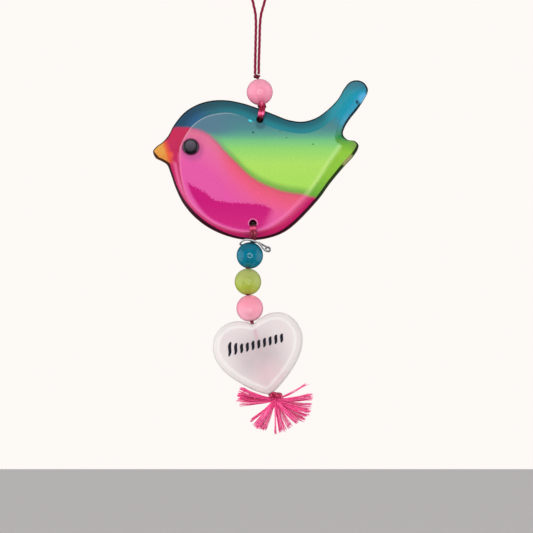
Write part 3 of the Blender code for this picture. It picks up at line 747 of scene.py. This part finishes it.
def heart_material():
    """Frosted glass: milky, greyer in the middle and paler on the bevel, with a painted highlight along its
    ridge.
    """
    look = new_look("heart_frost_look")
    position = look.place()
    x, _, z = position.split()
    ridge, line = look.stored("ridge", "line")
    flat = ridge.step(-0.3, 0.5)
    face = position.near((0.5, -3, -144), 2, 14).between("#ece4e4", "#cbbdc0")
    face = face.mix(position.noise(0.12, 3, 0.6).scale(0.3, 0.7, 0, 0.4), "#e0d0d5")
    cord = (x * 0.976 + z * 0.217).band(-30.4, 0.1, 1) * z.step(-144, -133) * flat
    colour = flat.between("#ece6e4", face).over(
        (position.near((4.5, -3, -152.5), 2, 10) * 0.75, "#e8cbd2"),
        # painted highlight along the ridge
        (ridge.band(0.1, 0.15, 0.7) * 0.4, "#ffffff"),
        (line.step(1.8, 0.2), "#e2dedc"),
        (cord * 0.4, "#dc94ab"),
    )
    grain = position.noise(3)
    look.set(Base_Color=colour.vary(grain, 0.98, 1.02), Roughness=0.38, IOR=1.3)
    look.set(Transmission_Weight=0.22, Normal=grain.bump(0.08, 0.05))
    look.set(Coat_Weight=0.25, Coat_Roughness=0.25)
    return look.owner


def mottled_material(name, scale, first, second, roughness):
    """Two close tones in soft patches."""
    look = new_look(name)
    patches = look.place().noise(scale, 3)
    look.set(Base_Color=patches.between(first, second), Roughness=roughness)
    return look.owner


def floss_material(name, dark, middle, light, shine):
    """Silky thread with fine fibres along it."""
    look = new_look(name)
    along, around, tone = look.stored("along", "around", "tone")
    fine = look.term("CombineXYZ", around * 24, along * 0.6, tone).noise(1, 2, 0.6)
    share = tone + fine.scale(0.3, 0.7, -0.12, 0.12)
    look.set(Base_Color=share.ramp({0: dark, 0.5: middle, 1: light}), Roughness=0.34)
    look.set(Sheen_Weight=0.2, Sheen_Roughness=0.4, Normal=fine.bump(0.25, 0.06), Metallic=shine)
    return look.owner


def wire_material():
    """Drawn silver wire, painted paler where it faces up and greyer where it faces down as painted light and
    shade, and darker brownish in its coil as painted shade.
    """
    look = new_look("wire_look")
    along, around = look.stored("along", "around")
    lines = look.term("CombineXYZ", around * 18, along * 0.2, 0).noise(1)
    upward = look.term("NewGeometry", output="Normal").split()[2]
    # painted light and shade: paler where the wire faces up
    tone = upward.step(-0.4, 0.7).between("#9aa3ad", "#ffffff")
    # painted shade in the coil
    tone = tone.mix(look.place().near(COIL_CENTRE, 1, 1.7) * 0.6, "#5a4c48")
    look.set(Base_Color=tone.vary(lines, 0.88, 1.08), Roughness=lines.scale(0.3, 0.7, 0.3, 0.4))
    look.set(Metallic=0.4)
    return look.owner


# Stage, camera and lights


def make_camera():
    data = bpy.data.cameras.new("camera")
    data.lens = CAMERA_LENS
    data.sensor_width = CAMERA_SENSOR
    camera = bpy.data.objects.new("camera", data)
    camera.location = CAMERA_PLACE
    camera.rotation_euler = (radians(CAMERA_PITCH), 0, 0)
    bpy.context.scene.collection.objects.link(camera)
    bpy.context.scene.camera = camera


def make_light(name, place, size, power, colour, tall=None):
    """A soft area light that looks at the object. Without a height it is a disc."""
    data = bpy.data.lights.new(name, "AREA")
    data.shape = "RECTANGLE" if tall else "DISK"
    data.size = size
    data.size_y = tall or size
    data.energy = power
    data.color = colour
    light = bpy.data.objects.new(name, data)
    light.location = place
    light.rotation_euler = (LIGHT_TARGET - Vector(place)).to_track_quat("-Z", "Y").to_euler()
    light.visible_transmission = False
    bpy.context.scene.collection.objects.link(light)
    return light


def make_ring_light(name, power, pieces):
    """A ring of light round the camera that shows only in the gloss of some pieces."""
    ring = make_light(name, CAMERA_PLACE, RING_SIZE, power, WARM)
    disc = Graph(ring.data, "Emission")
    middle = disc.term("NewGeometry", output="Parametric").distance((0.5, 0.5, 0))
    disc.set(Strength=middle.ramp({0.32: "#000000", 0.37: "#ffffff", 0.46: "#ffffff", 0.5: "#000000"}))
    ring.visible_diffuse = False
    group = bpy.data.collections.new(name)
    for piece in pieces:
        group.objects.link(piece)
    ring.light_linking.receiver_collection = group


def make_lights(beads, threads):
    """Soft lights, of which only the rings show in gloss."""
    make_ring_light("bead_ring", 3.4, beads)
    make_ring_light("floss_ring", 4.6, threads)
    for name, place, size, tall, power, colour in (
        ("key", (-0.3, -0.8, 0.55), 0.55, 0.55, 5.6, WARM),
        ("left_side", (-0.75, -0.25, -0.1), 0.28, 0.7, 2.4, COOL),
        ("right_side", (0.75, -0.25, -0.1), 0.28, 0.7, 2.6, COOL),
        ("rear", (0.35, 0.7, 0.25), 0.5, 0.5, 4, WARM),
    ):
        make_light(name, place, size, power, colour, tall).visible_glossy = False


def make_world():
    """A pale room: bright behind the object, softer where it lights, and dim in mirrors."""
    world = bpy.data.worlds.new("room")
    bpy.context.scene.world = world
    room = Graph(world, "Background")
    across, _, height = room.term("TexCoord", output="Generated").split()
    above = height.ramp({0.45: (0.04, 0.04, 0.045), 0.9: (0.35, 0.35, 0.36)})
    sides = across.apply("ABSOLUTE").ramp({0.74: (0, 0, 0), 0.86: (0.9, 0.9, 0.92)})
    mirrored = room.mix(1, above, sides, "LIGHTEN")
    hidden = room.term("LightPath", output="Is Glossy Ray").between(rgba((0.52, 0.52, 0.54)), mirrored)
    through = room.term("LightPath", output="Is Transmission Ray")
    seen = room.term("LightPath", output="Is Camera Ray") | through
    room.set(Color=seen.between(hidden, rgba((0.985, 0.945, 0.915))))


def make_stage():
    corners = [(x * FLOOR_REACH, y * FLOOR_REACH, 0) for x, y in ((-1, -1), (1, -1), (1, 1), (-1, 1))]
    floor = Body()
    floor.faces.append(tuple(floor.ring(corners)))
    material = mottled_material("stage_look", 0.02, "#f3eee9", "#f7f3ef", 0.85)
    made = floor.piece("floor", material, (0, 0, FLOOR_HEIGHT))
    made.visible_glossy = False


# Pieces


def finished(piece, slot, *nodes):
    """Let a piece ride on the part and stand for its solids, which are hidden. The slot is not used."""
    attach(piece, "root")
    if nodes:
        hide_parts(*nodes)
    return piece


def front_section(half, edge_depth, rounding):
    """Rings of a bevelled front from its rim to past its ridge: inset, share and depth."""
    rings = [(0, 0, -half * 0.1), (0, 0, -half * 0.22), (0.06, 0, -half * 0.32),
             (0.2, 0, -half * 0.42), (0.38, 0, -half * 0.47)]
    for step in range(9):
        share = step / 8 * (1 - rounding)
        depth = edge_depth + (0.945 - edge_depth) * step / 8
        rings.append((0.55 * (1 - share), share, -half * depth))
    for share, depth in ((0.94, 0.966), (0.97, 0.98), (1, 0.99), (1.04, 0.997), (1.09, 1), (1.14, 1)):
        rings.append((0, share, -half * depth))
    return rings


def back_section(half):
    """Rings of the flat back from inside to the rim."""
    return [(1.6, 0, half), (1.2, 0, half), (0.8, 0, half * 0.985), (0.5, 0, half * 0.95),
            (0.25, 0, half * 0.88), (0.08, 0, half * 0.78), (0, 0, half * 0.62),
            (0, 0, half * 0.3)]


def outward(rims):
    """Unit directions out of a closed outline that runs clockwise as seen from the front."""
    ahead = np.roll(rims, -1, axis=0) - np.roll(rims, 1, axis=0)
    ahead /= np.linalg.norm(ahead, axis=1)[:, None]
    return np.stack((-ahead[:, 1], ahead[:, 0]), axis=1)


def plate(stations, section, samples, line_width):
    """A bevelled plate that stores where each point lies: its share of the bevel, the distance
    in from the rim in edge lines and in from the ridge in millimetres, and the way the edge faces.
    """
    rims = spline(stations[:, :2], samples, closed=True)
    ridges = spline(stations[:, 2:], samples, closed=True)
    widths = np.linalg.norm(ridges - rims, axis=1)
    faces = outward(rims)
    lines = line_width(faces)
    body = Body()
    rings = []
    for inset, share, depth in section:
        shares = inset / widths + share
        points = rims + (ridges - rims) * shares[:, None]
        places = [(p[0], depth, p[1]) for p in points]
        rings.append(body.ring(places, share=shares, line=shares * widths / lines,
                               ridge=(shares - 1) * widths, side=faces[:, 0], up=faces[:, 1]))
    body.skin(rings)
    for ring in (rings[0], rings[-1]):
        fill(body, ring, ridges, faces)
    return body


def fill(body, ring, ridges, faces):
    """Close a flat ring with even triangles, whose points know how far in from the ridge they lie."""
    outline = [(body.points[i][0], body.points[i][2]) for i in ring]
    depth = body.points[ring[0]][1]
    corners = np.array(outline)
    low, high = corners.min(axis=0), corners.max(axis=0)
    inner = []
    for row, z in enumerate(np.arange(low[1], high[1], SPACING * 0.87)):
        for x in np.arange(low[0] + (row % 2) * SPACING / 2, high[0], SPACING):
            gap = np.linalg.norm(corners - (x, z), axis=1).min()
            if gap > SPACING * 0.6 and inside((x, z), corners):
                inner.append((x, z))
    count = len(outline)
    edges = [(i, (i + 1) % count) for i in range(count)]
    points = [Vector(p) for p in outline + inner]
    cells, origins = delaunay_2d_cdt(points, edges, [tuple(range(count))], 1, 1e-6)[2:4]
    gaps = [np.linalg.norm(ridges - p, axis=1) for p in inner]
    near = [int(gap.argmin()) for gap in gaps]
    depths = np.array([gap.min() for gap in gaps])
    numbers = list(ring) + body.ring([(x, depth, z) for x, z in inner], share=1.5 + depths, line=9,
                                     ridge=depths, side=faces[near, 0], up=faces[near, 1])
    for cell in cells:
        body.faces.append(tuple(numbers[origins[i][0]] for i in cell))


def inside(point, corners):
    """Whether a point lies in a closed outline."""
    x, z = point
    following = np.roll(corners, -1, axis=0)
    crosses = (corners[:, 1] > z) != (following[:, 1] > z)
    rise = np.where(crosses, following[:, 1] - corners[:, 1], 1)
    at_height = corners[:, 0] + (following[:, 0] - corners[:, 0]) * (z - corners[:, 1]) / rise
    return bool(np.count_nonzero(crosses & (x < at_height)) % 2)


def bird_line(normals):
    """Width of the dark line inside the bird's rim, wider below and to the right."""
    across, up = normals[:, 0], normals[:, 1]
    corner = np.clip(-2 * up * np.abs(across), 0, 1)
    right = np.clip(across, 0, 1) * np.clip(1 - up, 0, 1)
    left = np.clip(-across, 0, 1)
    return 0.46 + 0.28 * np.clip(up, 0, 1) + (0.3 + 0.45 * left) * corner + 0.4 * right


def drill(target, profile, matrix, segments=48):
    """Cut a turned shape out of a piece, and carry the stored numbers over to the new points."""
    before = target.data
    cutter = lathe(profile, segments).piece("cutter", before.materials[0])
    cutter.data.transform(matrix)
    modifier = target.modifiers.new("hole", "BOOLEAN")
    modifier.operation = "DIFFERENCE"
    modifier.solver = "EXACT"
    modifier.object = cutter
    bpy.context.view_layer.update()
    graph = bpy.context.evaluated_depsgraph_get()
    mesh = bpy.data.meshes.new_from_object(target.evaluated_get(graph), depsgraph=graph)
    target.modifiers.remove(modifier)
    bpy.data.objects.remove(cutter)
    carry_values(before, mesh)
    target.data = mesh
    bpy.data.meshes.remove(before)
    mesh.name = target.name


def carry_values(source, target):
    """Give each point of a cut mesh the numbers at the nearest place of the mesh before the cut."""
    corners = [vertex.co.copy() for vertex in source.vertices]
    faces = [tuple(face.vertices) for face in source.polygons]
    tree = BVHTree.FromPolygons(corners, faces)
    near = []
    for vertex in target.vertices:
        place, _, index, _ = tree.find_nearest(vertex.co)
        weights = poly_3d_calc([corners[i] for i in faces[index]], place)
        near.append((faces[index], weights))
    for label in ("share", "line", "ridge", "side", "up"):
        column = source.attributes[label].data
        layer = target.attributes.get(label) or target.attributes.new(label, "FLOAT", "POINT")
        for index, (face, weights) in enumerate(near):
            layer.data[index].value = sum(column[i].value * weight for i, weight in zip(face, weights))


def darken_bore(mesh, place, reach):
    """Let the dark line of the bird's rim also line a hole, as painted shade inside it."""
    line = mesh.attributes["line"].data
    for vertex in mesh.vertices:
        gap = vertex.co / MM - Vector(place)
        if hypot(gap.x, gap.z) < BIRD_HOLE / 2 + 0.1 and abs(gap.y) < reach + 0.05:
            line[vertex.index].value = 0


def smooth_plate(mesh, axis):
    """Shade a plate smooth, and its large flat faces flat, so that its holes' edges don't bend them."""
    mesh.shade_smooth()
    mesh.set_sharp_from_angle(angle=radians(35))
    for face in mesh.polygons:
        if abs(face.normal.dot(axis)) > 0.99999:
            face.use_smooth = False


def make_bird(material):
    half = BIRD_THICKNESS / 2
    section = back_section(half) + front_section(half, edge_depth=0.51, rounding=0.1)
    body = plate(np.array(BIRD_STATIONS), section, samples=8, line_width=bird_line)
    bird = body.piece("bird_pane", material, UPPER_HOLE)
    wide = BIRD_HOLE / 2 + COUNTERSINK
    start = half - COUNTERSINK
    side = [(BIRD_HOLE / 2, 0), (BIRD_HOLE / 2, start)]
    side += [(wide - COUNTERSINK * cosine, start + COUNTERSINK * sine) for sine, cosine in quarter(6, 1, 6)]
    side += [(wide, half + 1), (0, half + 1)]
    profile = [(radius, -height) for radius, height in reversed(side[1:])] + side[1:]
    for place in (UPPER_HOLE, LOWER_HOLE):
        drill(bird, profile, at(place, turned(90, "X")))
        darken_bore(bird.data, place, start)
    smooth_plate(bird.data, Vector((0, 1, 0)))
    return finished(bird, "bird_glass", "bird_glass")


def make_eye(material):
    radius = EYE_DIAMETER / 2
    profile = [(0, 0), (radius * 0.985, 0)]
    profile += [(radius * cosine ** 0.6, EYE_HEIGHT * sine) for sine, cosine in quarter(24, 1, 23)]
    profile.append((0, EYE_HEIGHT))
    eye = lathe(profile, ROUND_SIDES).piece("eye_dome", material, EYE, turned(90, "X"), sharp=60)
    return finished(eye, "eye_black", "bird_eye")


def make_bead(node, slot, material):
    """A round bead with a bore and softly rounded mouths, where its solid is."""
    low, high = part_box(node)
    radius, bore, mouth = BEAD_DIAMETER / 2, BEAD_BORE / 2, BEAD_MOUTH
    start = asin((bore + mouth) / radius)
    end = radius * cos(start)
    profile = []
    for step in range(49):
        angle = start + (pi - 2 * start) * step / 48
        profile.append((radius * sin(angle), radius * cos(angle)))
    lips = [(bore + mouth * (1 - sine), end - mouth * (1 - cosine)) for sine, cosine in quarter(6, 1, 5)]
    profile += [(reach, -height) for reach, height in lips] + lips[::-1]
    turn = turned(BEAD_TILTS[node], "Y")
    body = lathe(profile, ROUND_SIDES, closed=True)
    bead = body.piece(node + "_glass", material, (low + high) / 2 / MM, turn)
    return finished(bead, slot, node)


def heart_turn():
    """Turn of the heart: about its own cord, then in the picture plane."""
    return turned(HEART_TILT, "Y") @ turned(HEART_TURN, "Z")


def make_heart(material):
    right = np.array(HEART_STATIONS)
    stations = np.concatenate((right, right[-2:0:-1] * (-1, 1, -1, 1)))
    front = front_section(HEART_THICKNESS / 2, edge_depth=0.68, rounding=0.22)
    section = [(inset, share, -depth) for inset, share, depth in front[:0:-1]] + front[1:]
    body = plate(stations, section, samples=10, line_width=lambda faces: np.full(len(faces), 0.5))
    heart = body.piece("heart_pane", material, HEART_NOTCH, heart_turn())
    radius = HEART_BORE / 2
    profile = [(0, -HEART_TIP_DROP - 2), (radius, -HEART_TIP_DROP - 2), (radius, 2), (0, 2)]
    drill(heart, profile, at(HEART_NOTCH, heart_turn()), segments=32)
    smooth_plate(heart.data, heart_turn() @ Vector((0, 1, 0)))
    return finished(heart, "heart_frost", "heart_glass")


def mark_outline(x, z, length, width, count=15):
    """Outline of one leaning brush stroke."""
    lean = radians(MARK_LEAN)
    ahead = np.array((sin(lean), cos(lean)))
    across = np.array((cos(lean), -sin(lean)))
    outline = []
    for side in (1, -1):
        for step in range(count)[::side]:
            share = step / (count - 1)
            swell = sin(pi * min(max(share, 0.03), 0.97)) ** 0.35 * (0.8 + 0.2 * share)
            bow = 0.04 * length * sin(2 * pi * share)
            out = side * swell * width / 2 + bow
            outline.append((x, z) + ahead * (share - 0.5) * length + across * out)
    return outline


def make_marks(material):
    """A row of plain brush strokes on the heart's face."""
    body = Body()
    front = -HEART_THICKNESS / 2
    for index, (x, z, length) in enumerate(MARKS):
        outline = mark_outline(x, z, length, MARK_WIDTHS[min(index, 1)])
        rings = [body.ring([(p[0], front + depth, p[1]) for p in outline]) for depth in (0.01, -MARK_HEIGHT)]
        body.skin(rings, caps=True)
    marks = body.piece("heart_marks", material, HEART_NOTCH, heart_turn(), sharp=50)
    return finished(marks, "eye_black")


def doubled(body, route, origin):
    """Two strands side by side along a route of places, half widths and half thicknesses."""
    rows = np.array(route)
    centres = spline(rows[:, :3], 14) + origin
    widths, depths = spline(rows[:, 3:], 14).T
    axes = frames(centres, (1, 0, 0))
    for hand in (1, -1):
        middle = centres + axes[0] * (hand * 0.45 * widths)[:, None]
        strand(body, middle, axes, widths * 0.57, depths, (*LEG_FORM[:3], hand * LEG_FORM[3]))


def single(body, route, origin, first_side, samples):
    """One strand along a route of places and half widths."""
    rows = np.array(route)
    centres = spline(rows[:, :3], samples) + origin
    tube(body, centres, first_side, spline(rows[:, 3:], samples)[:, 0], BUNDLE_FORM)


def set_tone(piece, function):
    """Store a tone from 0 (dark) to 1 (pale) on a piece, from each point's place in millimetres."""
    mesh = piece.data
    column = [function(point.co / MM) for point in mesh.vertices]
    layer = mesh.attributes.get("tone") or mesh.attributes.new("tone", "FLOAT", "POINT")
    layer.data.foreach_set("value", column)


def leg_light_and_shade(point, hole, least, height, reach):
    """Painted light and shade of a cord at a hole of the bird: painted shade inside, and a painted highlight
    at a height from it.
    """
    rise = point.z - hole[2]
    if abs(point.y) < BIRD_THICKNESS / 2 - 0.2 and abs(rise) < BIRD_HOLE:
        return 0
    return least + (0.95 - least) * exp(-((rise - height) / reach) ** 2)


def hitch_light_and_shade(point):
    """Painted light and shade of the upper hitch: its top turn has a painted highlight in the middle and
    painted shade at its sides.
    """
    if point.z - UPPER_HOLE[2] > 4.9:
        return 0.15 + 0.85 * exp(-((point.x - UPPER_HOLE[0] - 0.65) / 0.75) ** 2)
    return leg_light_and_shade(point, UPPER_HOLE, 0.35, 2.1, 0.9)


def make_loop(material):
    centres = spline(LOOP_ROUTE, 24)
    body = Body()
    tube(body, centres, (0, 1, 0), LOOP_CORD / 2, LOOP_FORM)
    loop = body.piece("hanging_loop_cord", material)
    set_tone(loop, lambda p: 0.3)
    finished(loop, "floss", "hanging_loop")


def make_upper_hitch(material):
    body = Body()
    doubled(body, UPPER_LEGS, UPPER_HOLE)
    single(body, UPPER_BIGHT, UPPER_HOLE, (0, 0, 1), 14)
    hitch = body.piece("upper_hitch_cord", material)
    set_tone(hitch, hitch_light_and_shade)
    return finished(hitch, "floss", "upper_hitch")


def make_lower_cord(material):
    body = Body()
    doubled(body, LOWER_LEGS, LOWER_HOLE)
    single(body, LOWER_BUNDLE, (0, 0, 0), (1, 0, 0), 26)
    cord = body.piece("lower_cord_strands", material)
    set_tone(cord, lambda p: leg_light_and_shade(p, LOWER_HOLE, 0.18, -1.9, 0.7))
    return finished(cord, "floss", "lower_cord")


def knot_curve(count):
    """A trefoil, the closed form of an overhand knot, about 6 across and 2 deep."""
    points = []
    for step in range(count):
        t = 2 * pi * step / count
        x = sin(t) + 2 * sin(2 * t)
        y = cos(t) - 2 * cos(2 * t)
        points.append((x, -sin(3 * t), y))
    return np.array(points)


def make_knot(node, material, cord_radius, turn, grow, tone):
    """A pulled-tight overhand knot that fills its solid's box, or a little more."""
    low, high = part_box(node)
    points = knot_curve(150) @ np.array(turned(turn, "Y")).T
    reach = np.array((high - low) / 2 / MM * grow)
    points = points / np.abs(points).max(axis=0) * (reach - cord_radius) + np.array((low + high) / 2 / MM)
    body = Body()
    tube(body, np.concatenate((points, points[:1])), (0, 1, 0), cord_radius, KNOT_FORM)
    knot = body.piece(node + "_floss", material)
    set_tone(knot, lambda p: tone + 0.25 * sin(3.1 * p.x) * cos(2.3 * p.z))
    return finished(knot, "floss", node)


def make_wire(material):
    coil = []
    for step in range(10, 71):
        turn = COIL_TURNS * step / 70
        angle = radians(COIL_START) + 2 * pi * turn
        x, z = COIL_RADIUS * cos(angle), COIL_RADIUS * sin(angle)
        coil.append(np.array(COIL_CENTRE) + (x, -COIL_PITCH * (turn - COIL_TURNS / 2), z))
    body = Body()
    tube(body, np.array([*spline(WIRE_ROUTE, 10), *coil]), (0, 0, 1), WIRE_DIAMETER / 2, WIRE_FORM)
    return finished(body.piece("wire_clip_wire", material, sharp=50), "silver_wire", "wire_clip")


def thread(body, start, middle, end, radius, tone):
    """One thread of the tassel, thinner and paler towards its end."""
    shares = np.linspace(0, 1, 12)
    steps = shares[:, None]
    control = 2 * middle - 0.5 * (start + end)
    points = start * (1 - steps) ** 2 + control * 2 * steps * (1 - steps) + end * steps ** 2
    tones = tone * (0.45 + 0.55 * np.minimum(shares * 1.8, 1)) + 0.12 * shares
    tube(body, points, (0, 1, 0), radius * (1 - 0.35 * shares), THREAD_FORM, tones)


def make_tassel(material):
    """Frayed floss: bundles of fine threads spread in a flat fan."""
    body = Body()
    core = np.array(TASSEL_CORE)
    depth = np.array((0, 1, 0))
    for degrees, length, half, lean, count, tone in TUFTS:
        angle = radians(degrees)
        out = np.array((sin(angle), 0, -cos(angle)))
        side = np.array((cos(angle), 0, sin(angle)))
        for index in range(count):
            spread = RNG.uniform(-1, 1)
            rise = RNG.uniform(-1, 1) * sqrt(1 - spread * spread)
            reach = length * RNG.uniform(0.9, 1.02)
            start = core + side * RNG.gauss(0, 0.4) + depth * RNG.gauss(0, 0.4)
            start = start + np.array((0.1, 0, RNG.uniform(0.6, 1.7)))
            middle = core + out * reach * 0.45 + side * (spread * half * 0.55 + RNG.gauss(0, 0.12))
            middle = middle + depth * (lean * 0.5 + rise * 0.45) + np.array((0, 0, 0.1))
            end = core + out * reach + side * (spread * half + RNG.gauss(0, 0.15))
            end = end + depth * (lean + rise * 0.6)
            shade = min(max(tone + RNG.gauss(0, 0.2), 0.02), 1)
            thread(body, start, middle, end, THREAD_RADIUS * RNG.uniform(0.8, 1.15), shade)
    return finished(body.piece("tassel_threads", material), "floss", "tassel")


def make_object():
    """All pieces. Returns the beads and the pieces of floss, which show the ring lights."""
    floss = floss_material("floss_look", "#4a0a20", "#b81a4c", "#ff6a9a", 0.4)
    frayed = floss_material("frayed_floss_look", "#c41a60", "#ff4292", "#ff86ba", 0)
    make_loop(floss)
    make_bird(bird_material())
    make_eye(eye_material())
    beads = [make_bead(node, slot, bead_material(node, *codes)) for node, slot, codes in BEADS]
    make_heart(heart_material())
    make_marks(mottled_material("heart_ink_look", 1.8, "#14141f", "#242433", 0.4))
    make_wire(wire_material())
    threads = [
        make_upper_hitch(floss),
        make_lower_cord(floss),
        make_knot("top_knot", floss, 0.5, 0, 1.2, 0.12),
        make_knot("tassel_knot", floss, 0.8, 20, 1.1, 0.5),
        make_tassel(frayed),
    ]
    return beads, threads


bpy.context.scene.view_settings.view_transform = "Standard"
make_camera()
make_world()
make_stage()
make_lights(*make_object())
